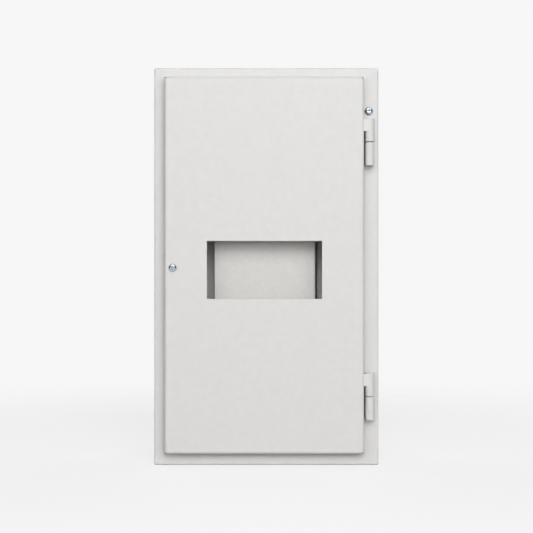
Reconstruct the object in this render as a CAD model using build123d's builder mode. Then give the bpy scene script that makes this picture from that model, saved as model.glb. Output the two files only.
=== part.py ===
from build123d import *
import os

# Surface-mounted enclosure for a moulded-case circuit breaker, folded from sheet steel.
# Millimetres. The origin is the middle of the back face, where it meets the wall.
# +Z is up, +X is the hinge side, and the door faces -Y.

# Box
box_width = 226.0
box_height = 400.0
box_depth = 110.0
box_sheet = 1.2
box_bend = 1.8
opening_width = 172.0
opening_height = 356.0
opening_corner = 2.0

# Door, measured from the box's middle
door_left = -102.0
door_right = 97.7
door_bottom = -187.4
door_top = 189.8
door_sheet = 1.2
door_bend = 3.0
door_front_y = -123.0
door_gap = 4.0
door_corner_radius = 1.2
relief_radius = 0.75
relief_inset = 1.5
corner_slit = 0.5

# Cut-out in the door for the breaker's front
window_left = -59.4
window_right = 55.6
window_bottom = -32.3
window_top = 25.6
window_corner = 1.0

# Mounting plate, a hat section with its crown towards the door
plate_centre_x = -1.6
crown_width = 103.1
crown_front_y = -97.0
crown_height = 24.0
plate_sheet = 1.5
plate_bend = 1.2
brim_width = 14.0
plate_length = 330.0
breaker_hole_radius = 2.25
breaker_hole_spacing_x = 35.0
breaker_hole_spacing_z = 126.0
slot_width = 2.0
slot_length = 70.0
slot_spacing = 80.0
slot_count = 3
slot_from_web = 0.6

# Studs, nuts and washers that carry the plate
stud_radius = 2.5
stud_spacing_x = 120.0
stud_spacing_z = 300.0
stud_tip_y = -80.0
stud_hole_radius = 2.75
thread_clearance = 0.06
nut_flats = 8.0
nut_height = 4.0
washer_radius = 5.0
washer_thickness = 1.0

# Holes in the back wall
wall_hole_radius = 3.5
wall_hole_spacing_x = 150.0
wall_hole_spacing_z = 320.0

# Knock-outs for cable entries, scored into the top and bottom walls
knockout_spacing = 96.0
knockout_radii = (16.0, 25.0)
knockout_groove = 0.8
knockout_depth = 0.6
knockout_web = 3.0

# Hinges
hinge_x = 103.7
hinge_axis_y = -117.5
barrel_radius = 4.5
barrel_edge = 0.7
upper_hinge_z = 124.6
lower_hinge_z = -130.0
knuckle_height = 23.2
knuckle_gap = 1.0
pin_radius = 2.5
pin_reach = 18.0
hinge_clearance = 0.06
pin_end_gap = 0.1
leaf_thickness = 2.0
leaf_height = 13.0
leaf_inner_x = 84.0
leaf_notch_gap = 0.5
foot_width = 6.0
cutout_reach = 0.6

# Closing screw, M4, held in the door by a washer on its neck
closing_x = -93.5
closing_z = -1.1
screw_radius = 2.0
screw_head_radius = 4.15
screw_head_height = 2.9
screw_length = 19.0
neck_radius = 1.45
head_flat_share = 0.44
head_shoulder_share = (0.8, 0.82)
head_side_share = 0.4
neck_length = 9.4
recess_width = 4.6
recess_arm = 1.1
recess_depth = 1.8
recess_taper = 12.0
door_screw_hole = 2.3
keeper_radius = 4.5
keeper_thickness = 0.8
keeper_slack = 0.2

# Rivet nut in the left border
rivet_flange_radius = 4.6
rivet_flange = 0.8
rivet_body_radius = 3.0
rivet_hole_radius = 3.05
rivet_fold_radius = 4.2
rivet_fold_length = 2.6
rivet_length = 7.6

# Earth screw on the border, with its weld nut
earth_screw_x = 103.3
earth_screw_z = 156.6
earth_screw_length = 10.0
earth_hole_radius = 2.2
weld_nut_flats = 7.0
weld_nut_height = 3.2

# Earth studs, M6, with washer and nut
earth_stud_radius = 3.0
earth_nut_flats = 10.0
earth_nut_height = 5.0
earth_washer_radius = 6.0
earth_washer_thickness = 1.6
box_stud_x = 95.0
box_stud_z = -170.0
box_stud_length = 20.0
door_stud_x = -77.0
door_stud_z = -160.0
door_stud_length = 15.0

# Places that follow from those sizes
border_front_y = -box_depth
back_inner_y = -box_sheet
door_width = door_right - door_left
door_height = door_top - door_bottom
door_centre = ((door_left + door_right) / 2, (door_bottom + door_top) / 2)
door_inner_y = door_front_y + door_sheet
door_depth = border_front_y - door_gap - door_front_y
window_width = window_right - window_left
window_height = window_top - window_bottom
window_centre = ((window_left + window_right) / 2, (window_bottom + window_top) / 2)
brim_front_y = crown_front_y + crown_height
brim_back_y = brim_front_y + plate_sheet
slot_x = plate_centre_x + crown_width / 2 + slot_from_web + slot_width / 2
cutout_inner_x = opening_width / 2
cutout_outer_x = hinge_x - barrel_radius + cutout_reach

# A plane at a depth y, seen from the front: local x is +X, local y is +Z
# and its normal points out of the front, so extruding goes towards the viewer.
def front_plane(y, x=0.0, z=0.0):
    return Plane(origin=(x, y, z), x_dir=(1, 0, 0), z_dir=(0, -1, 0))


# A half section to revolve: local x is the radius, local y is the way out of the front.
def turning_plane(x, y, z):
    return Plane(origin=(x, y, z), x_dir=(1, 0, 0), z_dir=(0, 0, 1))


def write(part, name):
    part.label = name
    export_step(part, f"parts/{name}.step")


os.makedirs("parts", exist_ok=True)

# Box: back, four sides and the border turned inwards, in one piece
with BuildPart() as box_body:
    with BuildSketch(front_plane(0)):
        Rectangle(box_width, box_height)
    extrude(amount=box_depth)
    fillet(box_body.edges(), radius=box_bend)
    with BuildSketch(front_plane(back_inner_y)):
        RectangleRounded(box_width - 2 * box_sheet, box_height - 2 * box_sheet, box_bend - box_sheet)
    extrude(amount=box_depth - 2 * box_sheet, mode=Mode.SUBTRACT)
    with BuildSketch(front_plane(border_front_y + box_sheet)):
        RectangleRounded(opening_width, opening_height, opening_corner)
    extrude(amount=box_sheet, mode=Mode.SUBTRACT)
    # cut-outs in the border beside the hinges, where the leaf's end swings past
    with BuildSketch(front_plane(border_front_y + box_sheet)):
        with Locations((cutout_inner_x, upper_hinge_z), (cutout_inner_x, lower_hinge_z)):
            Rectangle(
                cutout_outer_x - cutout_inner_x,
                2 * knuckle_height,
                align=(Align.MIN, Align.CENTER),
            )
    extrude(amount=box_sheet, mode=Mode.SUBTRACT)
    with BuildSketch(front_plane(0)):
        with GridLocations(wall_hole_spacing_x, wall_hole_spacing_z, 2, 2):
            Circle(wall_hole_radius)
    extrude(amount=box_sheet, mode=Mode.SUBTRACT)
    with BuildSketch(front_plane(border_front_y + box_sheet)):
        with Locations((closing_x, closing_z)):
            Circle(rivet_hole_radius)
        with Locations((earth_screw_x, earth_screw_z)):
            Circle(earth_hole_radius)
    extrude(amount=box_sheet, mode=Mode.SUBTRACT)
    for wall_z, inwards in ((box_height / 2, -1), (-box_height / 2, 1)):
        for knockout_x in (-knockout_spacing / 2, knockout_spacing / 2):
            for radius in knockout_radii:
                with BuildSketch(Plane.XY.offset(wall_z)):
                    with Locations((knockout_x, -box_depth / 2)):
                        Circle(radius + knockout_groove / 2)
                        Circle(radius - knockout_groove / 2, mode=Mode.SUBTRACT)
                        Rectangle(2 * radius + knockout_web, knockout_web, mode=Mode.SUBTRACT)
                extrude(amount=inwards * knockout_depth, mode=Mode.SUBTRACT)
write(box_body.part, "box_body")

# Door: a pan with its four edges turned back, not welded at the corners
corner_x = door_width / 2 - relief_inset
corner_z = door_height / 2 - relief_inset
upper_leaf_z = upper_hinge_z + knuckle_gap / 2 + knuckle_height - leaf_height / 2
lower_leaf_z = lower_hinge_z + knuckle_gap / 2 + knuckle_height - leaf_height / 2

with BuildPart() as door_panel:
    with BuildSketch(front_plane(door_front_y + door_depth, *door_centre)):
        Rectangle(door_width, door_height)
    extrude(amount=door_depth)
    fillet(door_panel.edges().filter_by(Axis.Y), radius=door_corner_radius)
    fillet(door_panel.faces().sort_by(Axis.Y)[0].edges(), radius=door_bend)
    with BuildSketch(front_plane(door_front_y + door_depth, *door_centre)):
        Rectangle(door_width - 2 * door_sheet, door_height - 2 * door_sheet)
    extrude(amount=door_depth - door_sheet, mode=Mode.SUBTRACT)
    inner_folds = door_panel.edges().filter_by_position(Axis.Y, door_inner_y, door_inner_y)
    fillet(inner_folds, radius=door_bend - door_sheet)
    with BuildSketch(front_plane(door_inner_y, *window_centre)):
        RectangleRounded(window_width, window_height, window_corner)
    extrude(amount=door_sheet, mode=Mode.SUBTRACT)
    with BuildSketch(front_plane(door_inner_y)):
        with Locations((closing_x, closing_z)):
            Circle(door_screw_hole)
    extrude(amount=door_sheet, mode=Mode.SUBTRACT)
    # relief holes and slits where the turned edges meet
    with BuildSketch(front_plane(door_front_y + door_depth, *door_centre)):
        with GridLocations(2 * corner_x, 2 * corner_z, 2, 2):
            Circle(relief_radius)
    extrude(amount=door_depth, mode=Mode.SUBTRACT)
    for side_x, side_z in ((1, 1), (-1, 1), (-1, -1), (1, -1)):
        corner_plane = front_plane(
            door_front_y + door_depth,
            door_centre[0] + side_x * corner_x,
            door_centre[1] + side_z * corner_z,
        )
        with BuildSketch(corner_plane):
            with Locations(Location((side_x * relief_inset, side_z * relief_inset), 45 * side_x * side_z)):
                Rectangle(4 * relief_inset, corner_slit)
        extrude(amount=door_depth, mode=Mode.SUBTRACT)
    # notches that let the hinge leaves in behind the face
    with BuildSketch(Plane.YZ.offset(door_right - door_bend)):
        with Locations((door_inner_y, upper_leaf_z), (door_inner_y, lower_leaf_z)):
            Rectangle(
                door_depth,
                leaf_height + 2 * leaf_notch_gap,
                align=(Align.MIN, Align.CENTER),
            )
    extrude(amount=door_bend, mode=Mode.SUBTRACT)
write(door_panel.part, "door_panel")

# Mounting plate: crown, two webs and two brims
with BuildPart() as mounting_plate:
    with BuildSketch(Plane.XY.offset(-plate_length / 2)) as hat:
        with BuildLine():
            Polyline(
                (plate_centre_x - crown_width / 2 - brim_width, brim_front_y),
                (plate_centre_x - crown_width / 2, brim_front_y),
                (plate_centre_x - crown_width / 2, crown_front_y),
                (plate_centre_x + crown_width / 2, crown_front_y),
                (plate_centre_x + crown_width / 2, brim_front_y),
                (plate_centre_x + crown_width / 2 + brim_width, brim_front_y),
                (plate_centre_x + crown_width / 2 + brim_width, brim_back_y),
                (plate_centre_x + crown_width / 2 - plate_sheet, brim_back_y),
                (plate_centre_x + crown_width / 2 - plate_sheet, crown_front_y + plate_sheet),
                (plate_centre_x - crown_width / 2 + plate_sheet, crown_front_y + plate_sheet),
                (plate_centre_x - crown_width / 2 + plate_sheet, brim_back_y),
                (plate_centre_x - crown_width / 2 - brim_width, brim_back_y),
                close=True,
            )
        make_face()
        crown_corners = hat.vertices().group_by(Axis.Y)[0]
        fillet(crown_corners, radius=plate_bend)
    extrude(amount=plate_length)
    with BuildSketch(front_plane(crown_front_y + plate_sheet, plate_centre_x, window_centre[1])):
        with GridLocations(breaker_hole_spacing_x, breaker_hole_spacing_z, 2, 2):
            Circle(breaker_hole_radius)
    extrude(amount=plate_sheet, mode=Mode.SUBTRACT)
    with BuildSketch(front_plane(brim_back_y, plate_centre_x)):
        with GridLocations(stud_spacing_x, stud_spacing_z, 2, 2):
            Circle(stud_hole_radius)
    extrude(amount=plate_sheet, mode=Mode.SUBTRACT)
    # a row of slots for cable ties beside the right-hand web
    with BuildSketch(front_plane(brim_back_y, slot_x, window_centre[1])):
        with GridLocations(slot_width, slot_spacing, 1, slot_count):
            Rectangle(slot_width, slot_length)
    extrude(amount=plate_sheet, mode=Mode.SUBTRACT)
write(mounting_plate.part, "mounting_plate")


# A round stud that stands out of a wall, with a chamfered tip
def stud(base_y, x, z, radius, length, towards=-1):
    with BuildPart() as made:
        with BuildSketch(front_plane(base_y, x, z)):
            Circle(radius)
        extrude(amount=-towards * length)
        tip = made.faces().sort_by(Axis.Y)[0 if towards < 0 else -1]
        chamfer(tip.edges(), length=radius / 4)
    return made.part


# A hexagon nut whose back lies at y
def hexagon_nut(y, x, z, flats, height, bore):
    with BuildPart() as made:
        with BuildSketch(front_plane(y, x, z)):
            RegularPolygon(flats / 2, 6, major_radius=False)
            Circle(bore, mode=Mode.SUBTRACT)
        extrude(amount=height)
    return made.part


# A plain washer whose back lies at y
def plain_washer(y, x, z, radius, bore, thickness):
    with BuildPart() as made:
        with BuildSketch(front_plane(y, x, z)):
            Circle(radius)
            Circle(bore, mode=Mode.SUBTRACT)
        extrude(amount=thickness)
    return made.part


# Studs for the plate, each with a nut behind the brim, and a washer and a nut in front of it
nut_bore = stud_radius + thread_clearance
for height_name, stud_z in (("upper", stud_spacing_z / 2), ("lower", -stud_spacing_z / 2)):
    for side_name, side in (("left", -1), ("right", 1)):
        place = f"{height_name}_{side_name}"
        stud_x = plate_centre_x + side * stud_spacing_x / 2
        write(
            stud(back_inner_y, stud_x, stud_z, stud_radius, back_inner_y - stud_tip_y),
            f"plate_stud_{place}",
        )
        write(
            hexagon_nut(brim_back_y + nut_height, stud_x, stud_z, nut_flats, nut_height, nut_bore),
            f"rear_nut_{place}",
        )
        write(
            plain_washer(brim_front_y, stud_x, stud_z, washer_radius, stud_hole_radius, washer_thickness),
            f"plate_washer_{place}",
        )
        write(
            hexagon_nut(
                brim_front_y - washer_thickness, stud_x, stud_z, nut_flats, nut_height, nut_bore
            ),
            f"front_nut_{place}",
        )

# Hinges: a knuckle with a foot on the border, a pin pressed into it,
# and a knuckle with a leaf on the door that drops over the pin and rests on its end
for name, split_z in (("upper", upper_hinge_z), ("lower", lower_hinge_z)):
    lower_end = split_z - knuckle_gap / 2 - knuckle_height
    door_end = split_z + knuckle_gap / 2
    pin_top = split_z + pin_reach
    axis_spot = (hinge_x, hinge_axis_y)

    with BuildPart() as frame_knuckle:
        with BuildSketch(Plane.XY.offset(lower_end)):
            with Locations(axis_spot):
                Circle(barrel_radius)
        extrude(amount=knuckle_height)
        fillet(frame_knuckle.edges().filter_by(GeomType.CIRCLE), radius=barrel_edge)
        with BuildSketch(Plane.XY.offset(lower_end + barrel_edge)):
            with Locations(axis_spot):
                Rectangle(
                    foot_width,
                    border_front_y - hinge_axis_y,
                    align=(Align.CENTER, Align.MIN),
                )
        extrude(amount=knuckle_height - 2 * barrel_edge)
        with BuildSketch(Plane.XY.offset(lower_end)):
            with Locations(axis_spot):
                Circle(pin_radius)
        extrude(amount=knuckle_height, mode=Mode.SUBTRACT)
    write(frame_knuckle.part, f"frame_knuckle_{name}")

    with BuildPart() as hinge_pin:
        with BuildSketch(Plane.XY.offset(lower_end)):
            with Locations(axis_spot):
                Circle(pin_radius)
        extrude(amount=pin_top - lower_end)
        fillet(hinge_pin.faces().sort_by(Axis.Z)[-1].edges(), radius=pin_radius / 2)
    write(hinge_pin.part, f"hinge_pin_{name}")

    with BuildPart() as door_knuckle:
        with BuildSketch(Plane.XY.offset(door_end)):
            with Locations(axis_spot):
                Circle(barrel_radius)
        extrude(amount=knuckle_height)
        fillet(door_knuckle.edges().filter_by(GeomType.CIRCLE), radius=barrel_edge)
        with BuildSketch(Plane.XY.offset(door_end + knuckle_height - leaf_height)):
            with Locations((leaf_inner_x, door_inner_y)):
                Rectangle(hinge_x - leaf_inner_x, leaf_thickness, align=(Align.MIN, Align.MIN))
        extrude(amount=leaf_height - barrel_edge)
        with BuildSketch(Plane.XY.offset(door_end)):
            with Locations(axis_spot):
                Circle(pin_radius + hinge_clearance)
        extrude(amount=pin_top + pin_end_gap - door_end, mode=Mode.SUBTRACT)
    write(door_knuckle.part, f"door_knuckle_{name}")


# A pan-head screw with a cross recess, turned about its axis; under_y is the face that its head
# sits on, and the neck is the thinner stretch below the head that a captive washer runs on
def pan_head_screw(x, under_y, z, length, neck=0.0):
    head_top_edge = (head_flat_share * screw_head_radius, -screw_head_height)
    head_shoulder = (
        head_shoulder_share[0] * screw_head_radius,
        -head_shoulder_share[1] * screw_head_height,
    )
    head_side = -head_side_share * screw_head_height
    tip_chamfer = screw_radius / 2
    thread_start = neck + (screw_radius - neck_radius) if neck else 0.0
    with BuildPart() as made:
        with BuildSketch(turning_plane(x, under_y, z)):
            with BuildLine():
                Polyline((0, length), (0, -screw_head_height), head_top_edge)
                ThreePointArc(head_top_edge, head_shoulder, (screw_head_radius, head_side))
                Polyline(
                    (screw_head_radius, head_side),
                    (screw_head_radius, 0),
                    (screw_radius, 0),
                    (screw_radius, length - tip_chamfer),
                    (tip_chamfer, length),
                    (0, length),
                )
            make_face()
            if neck:
                with BuildLine():
                    Polyline(
                        (neck_radius, 0),
                        (2 * screw_radius, 0),
                        (2 * screw_radius, thread_start),
                        (screw_radius, thread_start),
                        (neck_radius, neck),
                        close=True,
                    )
                make_face(mode=Mode.SUBTRACT)
        revolve(axis=Axis((x, under_y, z), (0, 1, 0)), revolution_arc=360)
        with BuildSketch(front_plane(under_y - screw_head_height, x, z)):
            Rectangle(recess_width, recess_arm)
            Rectangle(recess_arm, recess_width)
            Circle(recess_arm)
        extrude(amount=-recess_depth, taper=recess_taper, mode=Mode.SUBTRACT)
    return made.part


write(
    pan_head_screw(closing_x, door_front_y, closing_z, screw_length, neck_length),
    "closing_screw",
)
write(
    plain_washer(
        door_front_y + neck_length - keeper_slack,
        closing_x,
        closing_z,
        keeper_radius,
        neck_radius + thread_clearance,
        keeper_thickness,
    ),
    "retaining_washer",
)
write(pan_head_screw(earth_screw_x, border_front_y, earth_screw_z, earth_screw_length), "earth_screw")
write(
    hexagon_nut(
        border_front_y + box_sheet + weld_nut_height,
        earth_screw_x,
        earth_screw_z,
        weld_nut_flats,
        weld_nut_height,
        screw_radius + thread_clearance,
    ),
    "earth_weld_nut",
)

# Rivet nut: flange in front of the border, body through it, and the fold that grips behind it
with BuildPart() as rivet_nut:
    with BuildSketch(turning_plane(closing_x, border_front_y, closing_z)):
        with BuildLine():
            Polyline(
                (screw_radius + thread_clearance, -rivet_flange),
                (rivet_flange_radius, -rivet_flange),
                (rivet_flange_radius, 0),
                (rivet_body_radius, 0),
                (rivet_body_radius, box_sheet),
                (rivet_fold_radius, box_sheet),
                (rivet_fold_radius, box_sheet + rivet_fold_length),
                (rivet_body_radius, box_sheet + rivet_fold_length),
                (rivet_body_radius, rivet_length),
                (screw_radius + thread_clearance, rivet_length),
                close=True,
            )
        make_face()
    revolve(axis=Axis((closing_x, border_front_y, closing_z), (0, 1, 0)), revolution_arc=360)
write(rivet_nut.part, "closing_rivet_nut")

# Earth studs, one on the back wall and one inside the door, each with its washer and nut;
# towards is -1 for a stud that points out of the front and 1 for one that points to the back
earth_bore = earth_stud_radius + thread_clearance
for name, base_y, stud_x, stud_z, length, towards in (
    ("box", back_inner_y, box_stud_x, box_stud_z, box_stud_length, -1),
    ("door", door_inner_y, door_stud_x, door_stud_z, door_stud_length, 1),
):
    if towards < 0:
        washer_back = base_y
        nut_back = base_y - earth_washer_thickness
    else:
        washer_back = base_y + earth_washer_thickness
        nut_back = washer_back + earth_nut_height
    write(stud(base_y, stud_x, stud_z, earth_stud_radius, length, towards), f"{name}_earth_stud")
    write(
        plain_washer(washer_back, stud_x, stud_z, earth_washer_radius, earth_bore, earth_washer_thickness),
        f"{name}_earth_washer",
    )
    write(
        hexagon_nut(nut_back, stud_x, stud_z, earth_nut_flats, earth_nut_height, earth_bore),
        f"{name}_earth_nut",
    )
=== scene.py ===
import math

import bmesh
import bpy
from mathutils import Matrix, Vector


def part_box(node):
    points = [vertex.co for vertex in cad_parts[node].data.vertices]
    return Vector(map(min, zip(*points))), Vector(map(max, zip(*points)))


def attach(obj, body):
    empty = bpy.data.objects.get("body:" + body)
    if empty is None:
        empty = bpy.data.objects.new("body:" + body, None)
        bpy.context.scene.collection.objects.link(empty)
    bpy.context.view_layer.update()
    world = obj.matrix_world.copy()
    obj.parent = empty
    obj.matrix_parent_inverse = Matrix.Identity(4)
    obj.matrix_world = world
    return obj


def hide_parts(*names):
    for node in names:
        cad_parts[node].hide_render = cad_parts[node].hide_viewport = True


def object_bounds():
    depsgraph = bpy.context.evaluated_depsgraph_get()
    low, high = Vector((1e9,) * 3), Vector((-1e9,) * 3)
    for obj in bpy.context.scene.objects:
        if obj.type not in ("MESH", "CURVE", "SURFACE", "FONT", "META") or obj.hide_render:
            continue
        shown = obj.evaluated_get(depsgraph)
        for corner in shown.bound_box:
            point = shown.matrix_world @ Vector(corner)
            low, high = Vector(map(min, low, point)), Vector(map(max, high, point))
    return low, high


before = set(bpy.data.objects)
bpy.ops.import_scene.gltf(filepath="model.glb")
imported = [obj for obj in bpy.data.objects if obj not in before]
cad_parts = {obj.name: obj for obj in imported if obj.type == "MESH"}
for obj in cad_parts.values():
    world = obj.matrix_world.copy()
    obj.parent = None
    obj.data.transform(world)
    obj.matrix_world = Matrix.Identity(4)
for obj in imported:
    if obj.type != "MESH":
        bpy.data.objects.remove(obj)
cad_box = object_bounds()

bl_info = {
    "name": "Breaker Enclosure Finish",
    "version": (1, 0, 0),
    "blender": (4, 5, 0),
    "location": "View3D > Sidebar > Enclosure",
    "description": "Finishes a wall-mounted sheet-steel breaker enclosure and its studio stage",
    "category": "Object",
}

MM = 0.001

# An edge that turns by less than the first is shaded smooth, and by less than the second is flat;
# points closer than the third are one point
SMOOTH_ANGLE = math.radians(32)
FLAT_ANGLE = math.radians(0.5)
SAME_POINT = 0.001 * MM

CORNERS = [f"{row}_{side}" for row in ("upper", "lower") for side in ("left", "right")]
HINGES = ("upper", "lower")

# Thread radii, and the depth of a thread and the length of a stud's tip as shares of the pitch
M4 = 2.0 * MM
M5 = 2.5 * MM
M6 = 3.0 * MM
THREAD_DEPTH = 0.54
THREAD_TIP = 0.8

# Threaded length of each screw, its pointed tip, and how far the shank goes into the thread
SCREW_THREADS = {"closing_screw": 9.2 * MM, "earth_screw": 10.0 * MM}
SCREW_TIP = 0.9 * MM
THREAD_START = 0.1 * MM

# A spanner leaves each nut turned by up to this much
SPANNER_TURN = math.radians(50)

# Edges worn round in the tumbler or drawn round in the die
TUMBLED_EDGE = 0.12 * MM
PIN_EDGE = 0.15 * MM

# The two weld beads beside each lower knuckle, measured from its axis and its upper end
BEAD_ASIDE = 3.0 * MM
BEAD_BELOW = 2.6 * MM
BEAD_LENGTH = 19.0 * MM

# Softboxes: azimuth and elevation in degrees, then metres from the door, and width and height
FRONT_PLACE = (5.0, 9.0, 2.4, (1.25, 1.1))
SIDE_PLACE = (35.0, 12.0, 2.4, (1.25, 1.1))
BROAD_PLACE = (5.0, 22.0, 2.3, (2.9, 2.1))
OVERHEAD_PLACE = (3.0, 31.0, 2.4, (1.25, 1.1))
REAR_PLACE = (140.0, 8.0, 2.4, (1.8, 1.6))

# Black panels beside the camera, and the floor with the distances over which it fades out
FLAG_ASIDE = 1.0
FLAG_DEPTHS = (-1.6, -0.1)
FLAG_HEIGHTS = (-0.2, 0.9)
FLOOR_REACH = 1.4
FLOOR_GAP = 0.2 * MM
FLOOR_FADE = (0.25, 0.95)
FLOOR_TONES = (0.29, 0.3)

# Camera: sensor width in millimetres, and its place to the right of and above the box's middle
SENSOR_WIDTH = 36.0
CAMERA_SHIFT = (0.15 * MM, 0.1 * MM)


def linear(colour):
    """Turns an sRGB hex value such as 'DDDDDA' into linear red, green, blue and alpha."""
    levels = [int(colour[i:i + 2], 16) / 255 for i in (0, 2, 4)]
    return (*[v / 12.92 if v <= 0.04045 else ((v + 0.055) / 1.055) ** 2.4 for v in levels], 1.0)


def hex_default(colour):
    """The linear red, green and blue of an sRGB hex value, as a colour property holds them."""
    return linear(colour)[:3]


def node(tree, kind, inputs=None, **settings):
    """Adds a node with its settings; inputs maps a socket to a value or to the socket it is linked to."""
    made = tree.nodes.new(kind)
    for name, value in settings.items():
        setattr(made, name, value)
    for key, value in (inputs or {}).items():
        if isinstance(value, bpy.types.NodeSocket):
            tree.links.new(value, made.inputs[key])
        else:
            made.inputs[key].default_value = value
    return made


def rgba(colour):
    """A colour property with an alpha of 1, as a socket takes it."""
    return (*colour[:3], 1.0)


def shade(colour, factor):
    """The same colour, lighter or darker."""
    return (*[min(1.0, level * factor) for level in colour[:3]], 1.0)


def blank_material(name):
    """A material with only its output node, and that node's tree."""
    material = bpy.data.materials.new(name)
    material.use_nodes = True
    material.node_tree.nodes.clear()
    output = node(material.node_tree, "ShaderNodeOutputMaterial")
    return material, material.node_tree, output


def per_metre(size_mm):
    """The texture scale on Object coordinates, in metres, of a pattern with that spacing in millimetres."""
    return 1.0 / (size_mm * MM)


# Finishes


def powder_coat(settings):
    """Polyester powder coat, fine texture, sprayed and stoved on steel: a satin, even pale grey with a
    slight orange peel, so highlights are broad and soft and the flat faces are faintly mottled."""
    material, tree, output = blank_material("polyester_powder_coat")
    place = node(tree, "ShaderNodeTexCoord").outputs["Object"]
    mottle = node(tree, "ShaderNodeTexNoise", {
        "Vector": place, "Scale": per_metre(settings.mottle_mm), "Detail": 3.0, "Roughness": 0.6,
    })
    # orange peel is about 1.5 mm from hill to hill and the grain about 0.3 mm, and both are drawn
    # coarser than real so that they show at this size
    peel = node(tree, "ShaderNodeTexNoise", {
        "Vector": place, "Scale": per_metre(settings.peel_mm), "Detail": 2.0, "Roughness": 0.5,
    })
    grain = node(tree, "ShaderNodeTexNoise", {
        "Vector": place, "Scale": per_metre(settings.grain_mm), "Detail": 2.0, "Roughness": 0.6,
    })
    paint = settings.powder_colour
    colour = node(tree, "ShaderNodeValToRGB", {"Fac": mottle.outputs["Fac"]})
    colour.color_ramp.elements[0].position = 0.3
    colour.color_ramp.elements[0].color = shade(paint, 0.975)
    colour.color_ramp.elements[1].position = 0.7
    colour.color_ramp.elements[1].color = shade(paint, 1.015)
    gloss = node(tree, "ShaderNodeMapRange", {
        "Value": peel.outputs["Fac"], "From Min": 0.3, "From Max": 0.7, "To Min": 0.42, "To Max": 0.52,
    })
    hills = node(tree, "ShaderNodeBump", {
        "Height": peel.outputs["Fac"], "Strength": 0.5, "Distance": 0.12 * MM,
    })
    texture = node(tree, "ShaderNodeBump", {
        "Height": grain.outputs["Fac"], "Normal": hills.outputs["Normal"],
        "Strength": 0.35, "Distance": 0.05 * MM,
    })
    coat = node(tree, "ShaderNodeBsdfPrincipled", {
        "Base Color": colour.outputs["Color"], "Roughness": gloss.outputs["Result"],
        "Normal": texture.outputs["Normal"], "IOR": 1.5,
    })
    tree.links.new(coat.outputs["BSDF"], output.inputs["Surface"])
    return material


def bright_zinc(settings):
    """Electroplated zinc, clear blue passivated, on a cold-headed screw or a nut: a bright, slightly
    blue metal, nearly mirror-like, with fine draw marks."""
    material, tree, output = blank_material("clear_passivated_zinc")
    place = node(tree, "ShaderNodeTexCoord").outputs["Object"]
    cloud = node(tree, "ShaderNodeTexNoise", {
        "Vector": place, "Scale": per_metre(1.2), "Detail": 3.0, "Roughness": 0.6,
    })
    tint = node(tree, "ShaderNodeValToRGB", {"Fac": cloud.outputs["Fac"]})
    tint.color_ramp.elements[0].position = 0.35
    tint.color_ramp.elements[0].color = shade(settings.zinc_colour, 0.9)
    tint.color_ramp.elements[1].position = 0.65
    tint.color_ramp.elements[1].color = rgba(settings.zinc_colour)
    blur = node(tree, "ShaderNodeMapRange", {
        "Value": cloud.outputs["Fac"], "From Min": 0.3, "From Max": 0.7, "To Min": 0.12, "To Max": 0.22,
    })
    marks = node(tree, "ShaderNodeTexNoise", {
        "Vector": place, "Scale": per_metre(0.25), "Detail": 2.0, "Roughness": 0.5,
    })
    relief = node(tree, "ShaderNodeBump", {
        "Height": marks.outputs["Fac"], "Strength": 0.25, "Distance": 0.02 * MM,
    })
    metal = node(tree, "ShaderNodeBsdfPrincipled", {
        "Base Color": tint.outputs["Color"], "Metallic": 1.0, "Roughness": blur.outputs["Result"],
        "Normal": relief.outputs["Normal"],
    })
    tree.links.new(metal.outputs["BSDF"], output.inputs["Surface"])
    return material


def drawn_steel(settings):
    """Bright drawn steel rod, oiled: a darker, warmer metal than the zinc, with marks along its length."""
    material, tree, output = blank_material("bright_drawn_steel")
    place = node(tree, "ShaderNodeTexCoord").outputs["Object"]
    streaks = node(tree, "ShaderNodeMapping", {"Vector": place, "Scale": (1.0, 0.06, 1.0)})
    marks = node(tree, "ShaderNodeTexNoise", {
        "Vector": streaks.outputs["Vector"], "Scale": per_metre(0.4), "Detail": 3.0, "Roughness": 0.6,
    })
    tone = node(tree, "ShaderNodeValToRGB", {"Fac": marks.outputs["Fac"]})
    tone.color_ramp.elements[0].position = 0.3
    tone.color_ramp.elements[0].color = shade(settings.steel_colour, 0.82)
    tone.color_ramp.elements[1].position = 0.7
    tone.color_ramp.elements[1].color = rgba(settings.steel_colour)
    blur = node(tree, "ShaderNodeMapRange", {
        "Value": marks.outputs["Fac"], "From Min": 0.3, "From Max": 0.7, "To Min": 0.24, "To Max": 0.38,
    })
    metal = node(tree, "ShaderNodeBsdfPrincipled", {
        "Base Color": tone.outputs["Color"], "Metallic": 1.0, "Roughness": blur.outputs["Result"],
    })
    tree.links.new(metal.outputs["BSDF"], output.inputs["Surface"])
    return material


def turned_brass(settings):
    """Turned and stamped brass, left bare: a yellow metal, a little dulled, with cloudy tarnish."""
    material, tree, output = blank_material("turned_brass")
    place = node(tree, "ShaderNodeTexCoord").outputs["Object"]
    tarnish = node(tree, "ShaderNodeTexNoise", {
        "Vector": place, "Scale": per_metre(2.5), "Detail": 4.0, "Roughness": 0.6,
    })
    tone = node(tree, "ShaderNodeValToRGB", {"Fac": tarnish.outputs["Fac"]})
    tone.color_ramp.elements[0].position = 0.35
    tone.color_ramp.elements[0].color = shade(settings.brass_colour, 0.8)
    tone.color_ramp.elements[1].position = 0.65
    tone.color_ramp.elements[1].color = rgba(settings.brass_colour)
    blur = node(tree, "ShaderNodeMapRange", {
        "Value": tarnish.outputs["Fac"], "From Min": 0.3, "From Max": 0.7, "To Min": 0.4, "To Max": 0.24,
    })
    metal = node(tree, "ShaderNodeBsdfPrincipled", {
        "Base Color": tone.outputs["Color"], "Metallic": 1.0, "Roughness": blur.outputs["Result"],
    })
    tree.links.new(metal.outputs["BSDF"], output.inputs["Surface"])
    return material


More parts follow.
